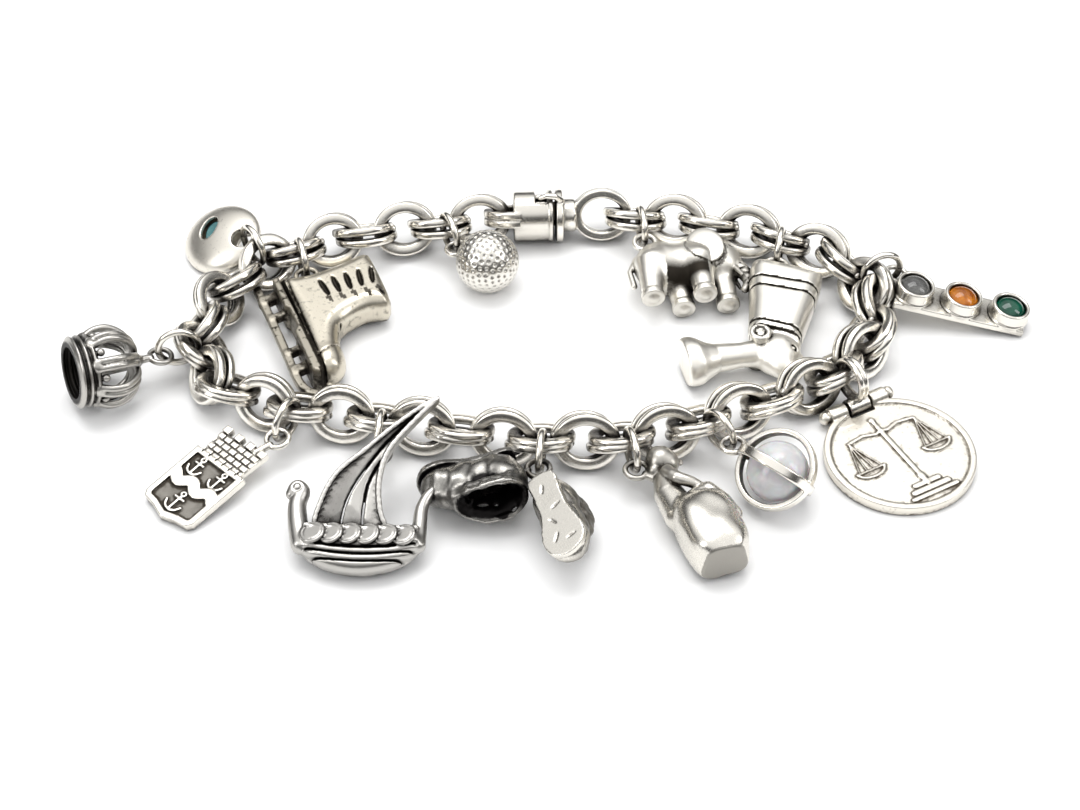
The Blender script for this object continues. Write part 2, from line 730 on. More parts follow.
def hung_from(name, drop=30):
    """Where a charm's loop lies on its jump ring, at an angle below level."""
    ring = middle_of("jump_ring_" + name)
    heading, fall = math.radians(HANGINGS[name]), math.radians(drop)
    reach = JUMP_RADIUS * MM
    way = (math.cos(heading) * math.cos(fall), math.sin(heading) * math.cos(fall), -math.sin(fall))
    return ring + reach * np.array(way)


# ---------- Crown ----------
# A little royal crown, cast hollow: three ridges round an open band, and eight double arches that
# meet under a knob. Its loop is soldered to the knob, and its inside stays dark.

worn_dark = silver("worn_dark", (0.62, 0.60, 0.56), (0.022, 0.02, 0.018), 0.25, 1.9, -0.4, 800, 0.5)
ARCHES = 8
RIDGE_PITCH = 0.87
crown = Wax((-2.2, -5.2, -5.2), (11.6, 5.2, 5.2), 0.11)
x, y, z = crown.p
out = np.sqrt(y**2 + z**2)
ridges = 4.1 + 0.24 * np.cos((x - 8.4) * 2 * math.pi / RIDGE_PITCH + math.pi)
band = np.maximum(np.abs(out - ridges + 0.45) - 0.45, np.abs(x - 9.7) - 1.3)
crown.add(band, 0.1)
angle = np.arctan2(z, y)
share = 2 * math.pi / ARCHES
folded = (angle + share / 2) % share - share / 2
arch_p = [x, out * np.cos(folded), out * np.sin(folded)]
for side in (-0.42, 0.42):
    path = smooth_line([(9.0, 3.7), (7.4, 4.5), (5.6, 4.4), (4.0, 3.2), (3.5, 1.6), (3.7, 0.2)], 4)
    way = [(a, r, side * min(1, r / 2)) for a, r in path]
    crown.add(rod(arch_p, way, 0.42), 0.1)
crown.add(egg(at(arch_p, (8.7, 4.0, 0)), (0.7, 0.5, 0.85)), 0.15)
pearl_fold = angle % share - share / 2
pearl_p = [x, out * np.cos(pearl_fold), out * np.sin(pearl_fold)]
crown.add(egg(at(pearl_p, (8.0, 4.0, 0)), (0.5, 0.45, 0.5)), 0.1)
crown.lump((3.2, 0, 0), (0.95,) * 3, 0.2)
crown.bar([(1.2, 0, 0), (3, 0, 0)], [0.42, 0.55], 0.2)
crown.loop(0.15)
inside = np.clip((3.9 - out) * 3, 0, 0.9) * (x > 8.2) + 0.22
crown.cast(
    "cast_crown", hung_from("crown", 22), -153, -10, 0, worn_dark, "dark_silver", ["crown"], stain=inside
)

# ---------- Coat of arms ----------
# A struck shield with a raised rim, a wavy band and three anchors on a darkened field, under a
# crown of town walls. It hangs by one corner of the wall.

worn_silver = silver(
    "worn_silver", (0.82, 0.79, 0.725), (0.04, 0.034, 0.027), 0.24, 1.4, -0.35, 800, 0.5
)
arms = Wax((-2.2, -7.2, -1.4), (16.8, 2.6, 1.6), 0.085)
shield_edge = [
    (6.6, -6.4), (14.6, -6.4), (15.3, -5.9), (15.5, -4.4), (16.1, -2.4), (15.5, -0.4), (15.3, 1.1),
    (14.6, 1.6), (6.6, 1.6),
]
edge = outline(arms.p, shield_edge)
arms.add(slab(arms.p, edge, -0.6, 0.5, 0.15), 0.05)
arms.cut(slab(arms.p, edge + 0.75, 0.15, 2, 0.05), 0.12)
wave = [(11.0 + 0.42 * math.sin((v - 0.2) * 2.1), -2.4 + v) for v in np.linspace(-3.4, 3.4, 24)]
arms.add(slab(arms.p, np.maximum(stroke(arms.p, wave, 1.5), edge + 0.7), -0.2, 0.5, 0.1), 0.08)
for ax, ay, size in ((7.9, -4.2, 0.9), (7.9, -0.6, 0.9), (12.6, -2.4, 1.0)):
    mark = stroke(arms.p, [(ax, ay), (ax + 2.2 * size, ay)], 0.36)
    mark = np.minimum(
        mark, stroke(arms.p, [(ax + 0.45, ay - 0.7 * size), (ax + 0.45, ay + 0.7 * size)], 0.32)
    )
    fluke = [
        (ax + 1.35 * size, ay - 1.15 * size),
        (ax + 2.0 * size, ay - 0.75 * size),
        (ax + 2.25 * size, ay),
        (ax + 2.0 * size, ay + 0.75 * size),
        (ax + 1.35 * size, ay + 1.15 * size),
    ]
    mark = np.minimum(mark, stroke(arms.p, smooth_line(fluke, 4), 0.36))
    loop_at = np.sqrt((arms.p[0][:, :, 0] - ax + 0.2) ** 2 + (arms.p[1][:, :, 0] - ay) ** 2)
    mark = np.minimum(mark, np.abs(loop_at - 0.3) - 0.14)
    arms.add(slab(arms.p, mark, -0.2, 0.42, 0.1), 0.06)
wall = [(3.3, -5.8), (3.3, 1.0), (6.9, 0.8), (6.9, -5.6)]
arms.add(slab(arms.p, outline(arms.p, wall), -0.6, 0.35, 0.1), 0.05)
for step in range(4):
    tooth = -5.35 + step * 1.95
    merlon = [(2.4, tooth - 0.5), (2.4, tooth + 0.55), (3.5, tooth + 0.55), (3.5, tooth - 0.5)]
    arms.add(slab(arms.p, outline(arms.p, merlon), -0.6, 0.45, 0.1), 0.05)
for row in range(4):
    height = 3.45 + row * 0.86
    arms.cut(slab(arms.p, stroke(arms.p, [(height, -6.2), (height, 1.4)], 0.16), 0.15, 1, 0.03), 0.06)
    for brick in range(7):
        side = -5.9 + brick * 1.12 + (row % 2) * 0.56
        joint = stroke(arms.p, [(height, side), (height + 0.86, side)], 0.16)
        arms.cut(slab(arms.p, joint, 0.15, 1, 0.03), 0.06)
arms.bar([(1.2, 0, 0), (3.0, -0.5, 0)], 0.42, 0.15)
arms.loop()
field = 0.8 * ((edge[:, :, None] < -0.6) & (arms.p[2] < 0.27) & (arms.p[2] > 0))
arms.cast(
    "struck_shield", hung_from("shield"), -133, 8.5, 0, worn_silver, "silver", ["shield"], stain=field
)

# ---------- Longship ----------
# A Norse ship, cast in the half round: a planked hull, a row of round shields, curled stems, and a
# sail blown to one side. The loop stands on the sail.

oxidised = silver("oxidised", (0.56, 0.545, 0.515), (0.02, 0.018, 0.017), 0.27, 2.0, -0.3, 600, 0.7)
ship = Wax((-5.6, -9.8, -0.6), (18.6, 8.6, 6.2), 0.12)
hull_line = [
    (11.6, -7.6), (13.2, -7.9), (15.0, -6.9), (16.4, -4.6), (17.0, -1.2), (16.4, 2.4), (15.0, 4.8),
    (13.2, 5.9), (11.6, 5.6),
]
hull = outline(ship.p, smooth_line(hull_line, 5))
ship.add(slab(ship.p, hull, 1.4, 4.4, 1.3), 0.1)
x, y, z = ship.p
for plank in range(3):
    seam = [(14.2 + plank * 0.85 - 0.018 * (v + 1) ** 2, v) for v in np.linspace(-7.4, 5.4, 14)]
    ship.cut(slab(ship.p, stroke(ship.p, seam, 0.2), 3.75 - plank * 0.5, 8, 0.05), 0.3)
ship.add(slab(ship.p, stroke(ship.p, [(11.7, -7.0), (11.9, -1), (11.7, 5.2)], 0.6), 1.6, 4.5, 0.2), 0.1)
for index in range(6):
    spot = at(ship.p, (12.7, -6.1 + index * 2.0, 4.4), (14, -12, 0))
    ship.add(drum(spot, 1.42, 0.26, 0.2), 0.04)
    ship.cut(hoop(at(spot, (0, 0, 0.28)), 1.1, 0.08), 0.1)
prow = smooth_line(
    [
        (13.4, -7.4, 2.9), (11.0, -8.0, 2.9), (8.6, -8.3, 2.9), (6.9, -7.9, 3.0), (6.6, -8.6, 3.1),
        (7.3, -9.0, 3.1),
    ],
    4,
)
ship.bar(prow, list(np.linspace(1.25, 0.7, len(prow))), 0.3)
ship.lump((6.7, -8.4, 3.1), (1.15, 1.0, 0.9), 0.2)
ship.cut(hoop(at(ship.p, (6.7, -8.4, 3.95)), 0.5, 0.14), 0.1)
stern = smooth_line(
    [(13.2, 5.4, 2.9), (10.8, 5.5, 2.9), (8.6, 5.6, 2.9), (6.9, 6.3, 3.0), (6.2, 7.1, 3.1)], 4
)
ship.bar(stern, list(np.linspace(0.95, 0.5, len(stern))), 0.25)
ship.lump((6.1, 7.3, 3.1), (0.7, 0.95, 0.7), 0.2)
sail_edge = smooth_line(
    [
        (-3.9, 6.9), (-3.2, 5.3), (-0.6, 2.0), (2.4, -1.2), (5.0, -4.0), (8.2, -5.6), (12.0, -6.1),
        (12.4, -2.2), (12.4, 2.0), (9.4, 1.2), (6.0, 0.9), (2.6, 1.7), (-0.8, 4.2),
    ],
    5,
    True,
)
sail = outline(ship.p, sail_edge)
tilt = 3.2 - (x - 11.4) * math.tan(math.radians(9))
bulge = 0.5 * np.cos(np.clip(sail / 3.2, -1, 0) * math.pi / 2)[:, :, None]
cloth = np.abs(z - tilt + bulge - 0.3) - 0.42
ship.add(np.maximum(sail[:, :, None], cloth), 0.15)
for seam in (
    [(-3.6, 6.6), (0.4, 2.2), (4.2, -0.6), (8.2, -2.6), (12.2, -3.4)],
    [(-3.6, 6.7), (1.4, 2.4), (5.6, -0.2), (9.2, -0.8), (12.2, -0.8)],
):
    path = stroke(ship.p, smooth_line(seam, 4), 0.22)[:, :, None]
    ship.cut(np.maximum(path, np.abs(z - tilt - 0.4) - 0.7), 0.25)
rim = np.abs(sail + 0.15)[:, :, None] - 0.28
ship.add(np.maximum(rim, np.abs(z - tilt - 0.05) - 0.5), 0.2)
ship.bar([(1.3, 0, 0.2), (1.9, 0, 1.5), (3.4, 0.4, 3.4)], [0.45, 0.55, 0.5], 0.2)
ship.loop()
left_panel = outline(
    ship.p,
    [
        (-3.6, 6.6), (0.4, 2.2), (4.2, -0.6), (8.2, -2.6), (12.2, -3.4), (12.4, -6.4), (5, -5), (-1, 1),
        (-4, 5.6),
    ],
)
on_sail = (x < 11.4) & (sail[:, :, None] < -0.35)
sail_shade = np.clip(0.5 - left_panel * 1.5, 0, 0.5)[:, :, None] * on_sail + 0.16
ship.cast(
    "cast_longship", hung_from("ship"), -92, 14.2, 0, oxidised, "dark_silver", ["ship"], stain=sail_shade
)

# ---------- Pair of old shoes ----------
# Two worn lace-up shoes, cast hollow and hung by their heels from one ring. The near one is blackened
# and gapes. The other is paler and lies over on its side, with its sole to the front.


def carve_shoe(wax, centre, turn, tall):
    """An upright shoe about a centre: toe along X, mouth up, with its collar, laces, sole and hollow."""
    p = at(wax.p, centre, turn)
    h = tall / 2
    wax.add(egg(at(p, (-2.9, 0, -0.1)), (3.0, 2.5, h)), 0.2)
    wax.add(egg(at(p, (0.8, 0, -h * 0.2)), (4.4, 2.45, h * 0.8)), 0.9)
    wax.add(egg(at(p, (3.4, 0.15, -h * 0.45)), (2.6, 2.35, h * 0.52)), 0.7)
    collar = smooth_line(
        [
            (-5.2, 0, h * 0.78), (-3.6, 2.1, h * 1.0), (-0.2, 2.6, h * 0.86), (2.0, 1.5, h * 0.66),
            (2.8, 0, h * 0.5), (2.0, -1.3, h * 0.62), (-0.2, -2.3, h * 0.9), (-3.6, -2.2, h * 0.88),
        ],
        4,
        True,
    )
    wax.add(rod(p, [(a, b * 0.8, c * 0.7) for a, b, c in collar + collar[:1]], 0.6), 0.5)
    wax.add(rod(p, collar + collar[:1], 0.34), 0.6)
    wax.cut(egg(at(p, (-1.6, 0, h * 0.8)), (3.2, 1.7, h * 1.1)), 0.25)
    wax.cut(egg(at(p, (-1.2, 0, h * 1.05)), (3.7, 2.1, h * 0.6)), 0.3)
    sole = [
        (-5.3, -1.5), (-5.3, 1.5), (-2.6, 1.6), (0, 1.7), (3.0, 2.6), (5.2, 2.2), (6.1, 0.3),
        (5.2, -1.8), (3.0, -2.3), (0, -1.6), (-2.6, -1.6),
    ]
    wax.cut(p[2] + h - 0.55, 0.05)
    edge = outline(p, smooth_line(sole, 3, True), turned=True)
    wax.add(np.maximum(edge, np.abs(p[2] + h - 0.35) - 0.36), 0.12)
    for place, side, turn in (
        (-3.4, 0.3, 20), (-0.6, -0.4, 70), (1.2, 0.6, -30), (3.4, 0.9, 35), (4.1, -0.7, 80)
    ):
        wax.cut(egg(at(p, (place, side, -h), (0, 0, turn)), (0.6, 0.1, 0.14)), 0.08)
    for step in range(4):
        place = 0.9 + step * 0.75
        rise = h * (0.34 - 0.09 * step)
        wax.add(
            rod(p, [(place, -1.2, rise - 0.4), (place + 0.25, 0, rise), (place, 1.2, rise - 0.4)], 0.2),
            0.1,
        )
    wax.add(rod(p, [(0.8, 0.2, h * 0.5), (1.4, 1.5, h * 0.55), (2.0, 2.5, h * 0.1)], 0.24), 0.1)
    creases = 0.12 * np.sin(p[0] * 1.9 + p[1] * 1.1) * np.sin(p[2] * 1.7 - p[0] * 0.6)
    swirl = 1.5 * np.sin(p[1] * 2.1)
    creases += 0.035 * np.sin(p[0] * 4.3 - p[2] * 2.9 + swirl) * np.sin(p[1] * 3.7 + p[0])
    wax.press(creases * np.clip(p[2] + h - 0.8, 0, 1))
    return p


def slab_round(flat, rise, half):
    """A turned outline given a pillowed thickness: full in its middle and rounded off to its edge."""
    side = np.maximum(flat + half * 0.75, 0)
    face = np.maximum(np.abs(rise) - half * 0.25, 0)
    return np.sqrt(side**2 + face**2) - half * 0.75


blackened = silver("blackened", (0.46, 0.445, 0.415), (0.012, 0.011, 0.011), 0.22, 2.6, -0.05, 420, 1.3)
near_shoe = Wax((-2.0, -4.6, -4.4), (15.2, 8.2, 6.6), 0.12)
q = carve_shoe(near_shoe, (7.4, 1.9, 0.7), (-80, 0, 8), 7.2)
gape = np.clip(1.4 - egg(at(q, (-1.2, 0, 2.9)), (3.6, 2.0, 4.2)) * 2.5, 0, 0.8) * (q[2] > 0.4) + 0.22
near_shoe.bar([(1.2, 0, 0), (2.6, 0.8, 0)], 0.45, 0.2)
near_shoe.loop()
SHOE_DROP = 5
near_shoe.cast(
    "old_shoe_left",
    hung_from("shoes", SHOE_DROP),
    -172,
    4.5,
    0,
    blackened,
    "dark_silver",
    ["shoe_left"],
    stain=gape,
)
far_shoe = Wax((-2.0, -6.6, -4.6), (16.4, 4.4, 4.8), 0.12)
q = carve_shoe(far_shoe, (8.6, 0.0, 0.0), (-153, 0, -2), 5.8)
upper = np.clip((q[2] + 1.8) * 0.8, 0.05, 0.75)
far_shoe.bar([(1.2, 0, 0), (3.4, 0, 0)], 0.45, 0.2)
far_shoe.loop()
far_shoe.cast(
    "old_shoe_right",
    hung_from("shoes", SHOE_DROP),
    -70,
    1,
    0,
    worn_silver,
    "dark_silver",
    ["shoe_right"],
    stain=upper,
)

# ---------- Seated figure ----------
# A calm figure that sits on a smooth boulder with its knees drawn up. It is cast solid, with a flat
# base, and hangs by its back.

figure = Wax((-3.0, -2.4, -4.4), (17.8, 9.8, 5.0), 0.11)
p = figure.p
stone = at(p, (11.6, 4.9, 0.2), (0, 0, 4))
swell = sum(np.abs(a / r) ** 3 for a, r in zip(stone, (5.1, 3.5, 3.4)))
figure.add(swell ** (1 / 3) * 4 - 4, 0.1)
figure.press(0.14 * np.sin(p[0] * 1.1) * np.sin(p[1] * 1.3 + 1) * np.sin(p[2] * 1.2))
figure.lump((0.2, 3.4, 0.5), (1.7, 1.5, 1.45), 0.1, (0, 0, 15))
figure.lump((-0.2, 2.9, 0.5), (1.75, 1.7, 1.7), 0.12, (0, 0, 15))
figure.lump((1.1, 1.7, 0.4), (0.8, 0.75, 0.9), 0.2)
figure.bar([(1.4, 3.0, 0.4), (2.6, 2.8, 0.3)], [0.8, 0.95], 0.3)
figure.bar([(3.0, 2.6, 0.2), (4.8, 2.3, 0.1), (7.8, 2.8, 0)], [1.5, 1.7, 2.1], 0.4)
for side in (1.5, -1.5):
    arm = smooth_line(
        [(2.6, 2.8, side), (4.2, 3.3, side * 1.4), (5.2, 4.8, side * 1.25), (6.0, 6.0, side * 0.8)], 3
    )
    figure.bar(arm, list(np.linspace(0.85, 0.55, len(arm))), 0.14)
    thigh = smooth_line([(8.0, 3.0, side * 0.8), (6.9, 4.8, side * 0.95), (6.3, 6.3, side * 0.9)], 3)
    figure.bar(thigh, list(np.linspace(1.15, 0.85, len(thigh))), 0.2)
    figure.bar(
        [(6.3, 6.3, side * 0.9), (8.2, 7.6, side * 0.9), (10.0, 8.2, side * 0.9)],
        [0.95, 0.75, 0.55],
        0.15,
    )
    figure.lump((10.5, 8.3, side * 0.95), (0.9, 0.55, 0.5), 0.15)
    figure.pit((0.2, 4.8, 0.5 + side * 0.36), (0.3, 0.3, 0.3), 0.12)
figure.lump((0.65, 4.95, 0.5), (0.52, 0.32, 0.24), 0.12)
figure.cut(rod(p, [(1.3, 4.6, 0.1), (1.36, 4.8, 0.5), (1.3, 4.6, 0.9)], 0.12), 0.08)
for strand in range(-3, 4):
    lock = [
        (0.1, 4.5, strand * 0.26), (-1.7, 3.7, strand * 0.4), (-1.9, 2.0, strand * 0.4),
        (0.2, 1.2, strand * 0.32),
    ]
    lock = smooth_line([(a, b, c + 0.5) for a, b, c in lock], 3)
    figure.cut(rod(p, lock, 0.1), 0.08)
figure.cut(16.1 - p[0], 0.05)
figure.bar([(1.0, 0.8, 0), (2.4, 2.0, 0.1)], 0.5, 0.2)
figure.loop()
sooty = 0.12 + 0.5 * (p[0] > 15.9) + np.clip(0.6 - 0.1 * p[0], 0, 0.3)
figure.cast(
    "calm_figure", hung_from("figure"), -74, 0, 0, worn_silver, "silver", ["seated_figure"], stain=sooty
)

# ---------- Moonstone in its cage ----------
# A milky polished ball, held loose in two crossing bands of half-round silver strip. The bands are
# soldered where they cross, and the loop sits on the joint.

BAND_RADIUS = 4.5
cage = Wax((-2.2, -5.4, -5.4), (11.8, 5.4, 5.4), 0.11)
for tilt in (35, 125):
    q = at(cage.p, (6.35, 0, 0), (tilt, 0, 0))
    far = np.sqrt(q[0] ** 2 + q[1] ** 2)
    cage.add(rounded(np.abs(far - BAND_RADIUS) - 0.18, np.abs(q[2]) - 0.42, 0.16), 0.1)
cage.loop(0.15)
cage.cast("band_cage", hung_from("orb", 12), -44, -5, 0, chain_silver, "silver", ["orb_cage"])


def glass(name, tint, rough, ior, clarity, streaks=0.0, veil=None):
    """Polished stone or glass with a tint, clouded by a veil that gathers in streaks."""
    material = bpy.data.materials.new(name)
    material.use_nodes = True
    tree = material.node_tree
    shader = tree.nodes["Principled BSDF"]
    shader.inputs["Roughness"].default_value = rough
    shader.inputs["IOR"].default_value = ior
    shader.inputs["Transmission Weight"].default_value = clarity
    place = put(tree, "ShaderNodeTexCoord").outputs["Object"]
    cloud = put(tree, "ShaderNodeTexNoise", Vector=place, Scale=420, Detail=4, Distortion=1.2)
    ramp = put(tree, "ShaderNodeValToRGB", Fac=cloud.outputs[0])
    clear, clouded = ramp.color_ramp.elements
    clear.position, clouded.position = 0.5 - streaks / 2, 0.62
    clear.color, clouded.color = (*tint, 1), (*(veil or tint), 1)
    tree.links.new(ramp.outputs[0], shader.inputs["Base Color"])
    return material


moonstone = glass("moonstone", (0.80, 0.80, 0.82), 0.06, 1.5, 0.35, 0.2, (0.93, 0.92, 0.93))
moonstone.node_tree.nodes["Principled BSDF"].inputs["Subsurface Weight"].default_value = 0.4
moonstone.node_tree.nodes["Principled BSDF"].inputs["Subsurface Scale"].default_value = 0.002
MOONSTONE_RADIUS = 3.55
stone_ball = Wax((2.6, -4.0, -4.2), (10.6, 4.0, 3.8), 0.1)
stone_ball.lump((6.65, 0, -0.2), (MOONSTONE_RADIUS,) * 3, 0.05)
stone_ball.cast("moonstone_ball", hung_from("orb", 12), -44, -5, 0, moonstone, "milky_glass", ["orb"])

# ---------- Hinged medal ----------
# A round medal, struck with a pair of scales inside a raised rim. Its two knuckles turn on a pin in
# the eye of a bail, and the bail goes round the chain.

hinge_place = np.array(frame["joints"][0]["pos_m"])
MEDAL_TURN = -61
MEDAL_RADIUS = 8.8
PAN_ASIDE = 4.6
KNUCKLE_ASIDE = 2.85
medal_silver = silver(
    "medal_silver", (0.79, 0.755, 0.68), (0.10, 0.08, 0.06), 0.34, 0.7, -0.3, 1900, 1.0
)
medal = Wax((-1.6, -9.4, -1.8), (18.2, 9.4, 1.5), 0.1)
x, y = medal.p[0][:, :, 0], medal.p[1][:, :, 0]
out = np.sqrt((x - MEDAL_RADIUS) ** 2 + y**2)
medal.add(slab(medal.p, out - MEDAL_RADIUS, -1.05, 0.0, 0.15), 0.05)
medal.add(slab(medal.p, np.abs(out - 8.4) - 0.4, -0.6, 0.28, 0.15), 0.12)
relief = [
    ([(4.2, 0), (14.2, 0)], 0.62),
    ([(4.9, -4.6), (4.6, -2.4), (5.1, -0.8), (4.8, 0), (5.1, 0.8), (4.6, 2.4), (4.9, 4.6)], 0.42),
    ([(3.2, 0), (4.2, 0)], 0.5),
    ([(14.0, -1.6), (14.0, 1.6)], 0.7),
    ([(14.9, -2.3), (14.9, 2.3)], 0.8),
    ([(15.7, -3.0), (15.7, 3.0)], 0.6),
]
for pan in (-PAN_ASIDE, PAN_ASIDE):
    for cord in (-1.5, -0.5, 0.5, 1.5):
        relief.append(([(5.0, pan), (9.4, pan + cord)], 0.16))
    bowl = [(9.5, pan - 1.9), (10.2, pan - 1.3), (10.5, pan), (10.2, pan + 1.3), (9.5, pan + 1.9)]
    relief.append((smooth_line(bowl, 3), 0.36))
    relief.append(([(9.5, pan - 1.9), (9.5, pan + 1.9)], 0.24))
shadow = np.abs(out - 7.85) * 1.6
for line, width in relief:
    drawn = stroke(medal.p, line, width)
    medal.add(slab(medal.p, drawn, -0.2, 0.26, 0.1), 0.1)
    shadow = np.minimum(shadow, np.abs(drawn - 0.08))
creep = np.clip(0.7 - shadow * 4, 0, 0.45)[:, :, None] * (medal.p[2] < 0.2)
medal.lump((3.0, 0, 0.1), (0.5, 0.45, 0.25), 0.1)
medal.lump((13.0, 0, 0.1), (0.7, 0.55, 0.2), 0.15)
medal.cut(block(medal.p, (1.45, 1.65, 3), 0.05), 0.1)
lying = (90, 0, 0)
medal.add(drum(at(medal.p, turn=lying), 0.42, 4.5, 0.1), 0.05)
for side in (-1, 1):
    aside = side * KNUCKLE_ASIDE
    medal.add(drum(at(medal.p, (0, aside, 0), lying), 0.98, 1.15, 0.12), 0.1)
    medal.add(block(at(medal.p, (1.3, aside, -0.5)), (1.1, 1.0, 0.45), 0.15), 0.2)
    medal.lump((0, side * 4.45, 0), (0.8, 0.75, 0.8), 0.1)
medal.cast(
    "struck_medal", hinge_place, MEDAL_TURN, 0.5, 0, medal_silver, "silver", ["scales_disc"], "medal", creep
)
bail = Wax((-5.0, -2.2, -1.6), (2.0, 2.2, 6.6), 0.09)
eye = at(bail.p, turn=lying)
bail.add(drum(eye, 1.12, 1.4, 0.15), 0.05)
for side in (-0.75, 0.75):
    bail.add(hoop(at(bail.p, (-1.5, side * 0.4, 3.1), lying), 2.4, 0.38), 0.1)
bail.cut(drum(eye, 0.68, 3, 0.05), 0.05)
bail.cast("medal_bail", hinge_place, MEDAL_TURN, 0, 0, chain_silver, "silver", ["scales_bail"])

# ---------- Bar with three stones ----------
# A flat bar with three raised collars, rubbed over a smoky, an amber and a green cabochon.
# It hangs by one corner.

BAR_PLACE = hung_from("bar")
STONES = (2.1, 8.1, 14.1)
BAR_ASIDE = -3.2
BAR_START, BAR_END = -0.2, 16.2
BAR_HEADING, BAR_FALL = -8, 10
bar = Wax((-2.2, BAR_ASIDE - 3.6, -1.6), (BAR_END + 1.0, 2.2, 3.0), 0.1)
middle = (BAR_START + BAR_END) / 2
half = (BAR_END - BAR_START) / 2
bar.add(block(at(bar.p, (middle, BAR_ASIDE, -0.25)), (half, 2.4, 0.42), 0.12), 0.05)
for spot in STONES:
    q = at(bar.p, (spot, BAR_ASIDE, 0))
    out = np.sqrt(q[0] ** 2 + q[1] ** 2)
    collar = np.maximum(np.abs(out - 2.2 + 0.05 * q[2]) - 0.24, np.abs(q[2] - 0.9) - 0.95)
    bar.add(collar, 0.12)
    bar.add(hoop(at(bar.p, (spot, BAR_ASIDE, 0.35)), 2.38, 0.2), 0.12)
    bar.add(hoop(at(bar.p, (spot, BAR_ASIDE, 1.8)), 2.12, 0.24), 0.1)
bar.bar([(0.9, -0.9, 0), (1.4, -1.9, -0.2)], 0.5, 0.2)
bar.loop()
bar.cast("stone_bar", BAR_PLACE, BAR_HEADING, BAR_FALL, 0, worn_silver, "silver", ["bar_plate"])
smoky = glass("smoky_stone", (0.10, 0.10, 0.10), 0.05, 1.55, 0.6, 0.4, (0.24, 0.24, 0.23))
amber = glass("amber_stone", (0.85, 0.30, 0.02), 0.05, 1.54, 0.55, 0.3, (0.42, 0.10, 0.01))
green = glass("green_stone", (0.0, 0.12, 0.065), 0.05, 1.6, 0.35, 0.4, (0.0, 0.05, 0.03))
for spot, name, stuff, slot, node in (
    (STONES[0], "smoky_cabochon", smoky, "smoky_glass", "stone_grey"),
    (STONES[1], "amber_cabochon", amber, "amber_glass", "stone_amber"),
    (STONES[2], "green_cabochon", green, "green_glass", "stone_green"),
):
    gem = Wax((spot - 2.4, BAR_ASIDE - 2.4, -0.2), (spot + 2.4, BAR_ASIDE + 2.4, 3.0), 0.08)
    dome = egg(at(gem.p, (spot, BAR_ASIDE, 0.9)), (1.98, 1.98, 1.6))
    gem.add(np.maximum(dome, 0.5 - gem.p[2]), 0.05)
    gem.cast(name, BAR_PLACE, BAR_HEADING, BAR_FALL, 0, stuff, slot, [node])

# ---------- Queen's bust ----------
# A bust in a tall flared hat with banded edges, cast nearly flat, with a long neck and a base cut
# off square. The bands and the ear's edge are engraved and dark.

bright_silver = silver(
    "bright_silver", (0.9, 0.87, 0.80), (0.035, 0.03, 0.024), 0.36, 1.5, -0.42, 700, 0.4
)
bust = Wax((-2.2, -13.0, -3.8), (22.6, 8.0, 4.2), 0.12)
p = bust.p
hat_side = [
    (1.2, -2.9), (1.0, 1.4), (1.9, 5.2), (2.4, 5.9), (8.0, 5.2), (13.4, 4.3), (14.6, 3.9), (14.2, 0.2),
    (13.2, -1.9), (8.0, -2.5),
]
hat = outline(p, smooth_line(hat_side, 4, True), turned=True)
bust.add(slab_round(hat, p[2], 2.5), 0.1)
engraved = np.zeros(hat.shape, bool)
for x0, y0, x1, y1 in (
    (4.4, -3.4, 5.2, 6.4), (6.0, -3.4, 6.8, 6.4), (12.0, -2.8, 13.2, 5.2), (12.9, -2.8, 14.1, 5.2)
):
    along = np.array([x1 - x0, y1 - y0])
    across = np.array([along[1], -along[0]]) / np.hypot(*along)
    line = np.abs((p[0] - x0) * across[0] + (p[1] - y0) * across[1])
    bust.cut(np.maximum(line - 0.14, np.maximum(-bust.depth - 0.25, hat - 0.4)), 0.08)
    engraved |= (line < 0.2) & (hat < 0.4)
bust.lump((15.6, 1.7, 0), (3.0, 2.7, 2.3), 0.5, (0, 0, -20))
bust.lump((17.6, 2.5, 0), (1.6, 1.5, 1.45), 0.7, (0, 0, 20))
bust.lump((16.2, 4.35, 0), (0.95, 0.55, 0.42), 0.35, (0, 0, -8))
bust.lump((17.7, 3.85, 0), (0.34, 0.3, 0.55), 0.2)
bust.lump((18.25, 3.7, 0), (0.3, 0.3, 0.5), 0.2)
for side in (1, -1):
    bust.pit((15.7, 3.5, side * 1.3), (0.36, 0.62, 0.5), 0.25, (0, 0, -10))
    bust.lump((15.75, 3.35, side * 1.35), (0.24, 0.42, 0.3), 0.12)
    bust.cut(
        rod(p, [(15.1, 2.7, side * 2.2), (14.95, 3.5, side * 1.75), (15.1, 4.1, side * 1.2)], 0.1), 0.12
    )
    lobe = at(p, (14.9, -0.6, side * 2.15), (0, 0, 15))
    bust.add(egg(lobe, (1.5, 1.15, 0.5)), 0.1)
    bust.add(hoop(at(p, (14.9, -0.6, side * 2.5)), 1.0, 0.34), 0.06)
    engraved |= (np.abs(egg(lobe, (0.9, 0.6, 1.5))) < 0.16) & (p[2] * side > 0)
bust.bar(
    [(15.6, 0.2, 0), (16.6, -2.6, 0), (17.6, -5.4, 0), (18.6, -7.4, 0)], [1.75, 1.5, 1.75, 2.6], 0.6
)
base = at(p, (18.6, -8.2, 0), (0, 0, -66))
bust.add(egg(at(base, (0.2, 0, 0)), (2.2, 3.3, 2.7)), 0.6)
bust.cut(1.0 - base[0], 0.08)
bust.bar([(0.9, 0, 0), (1.8, 0, 0)], 0.5, 0.2)
bust.loop()
bust.cast(
    "queen_bust", hung_from("bust"), -100, 1, 0, bright_silver, "silver", ["bust"], stain=0.9 * engraved
)

# ---------- Elephant ----------
# A small walking elephant, cast solid and lying on its side, with a dark edge round its ears and
# creased feet. It hangs by its rump.

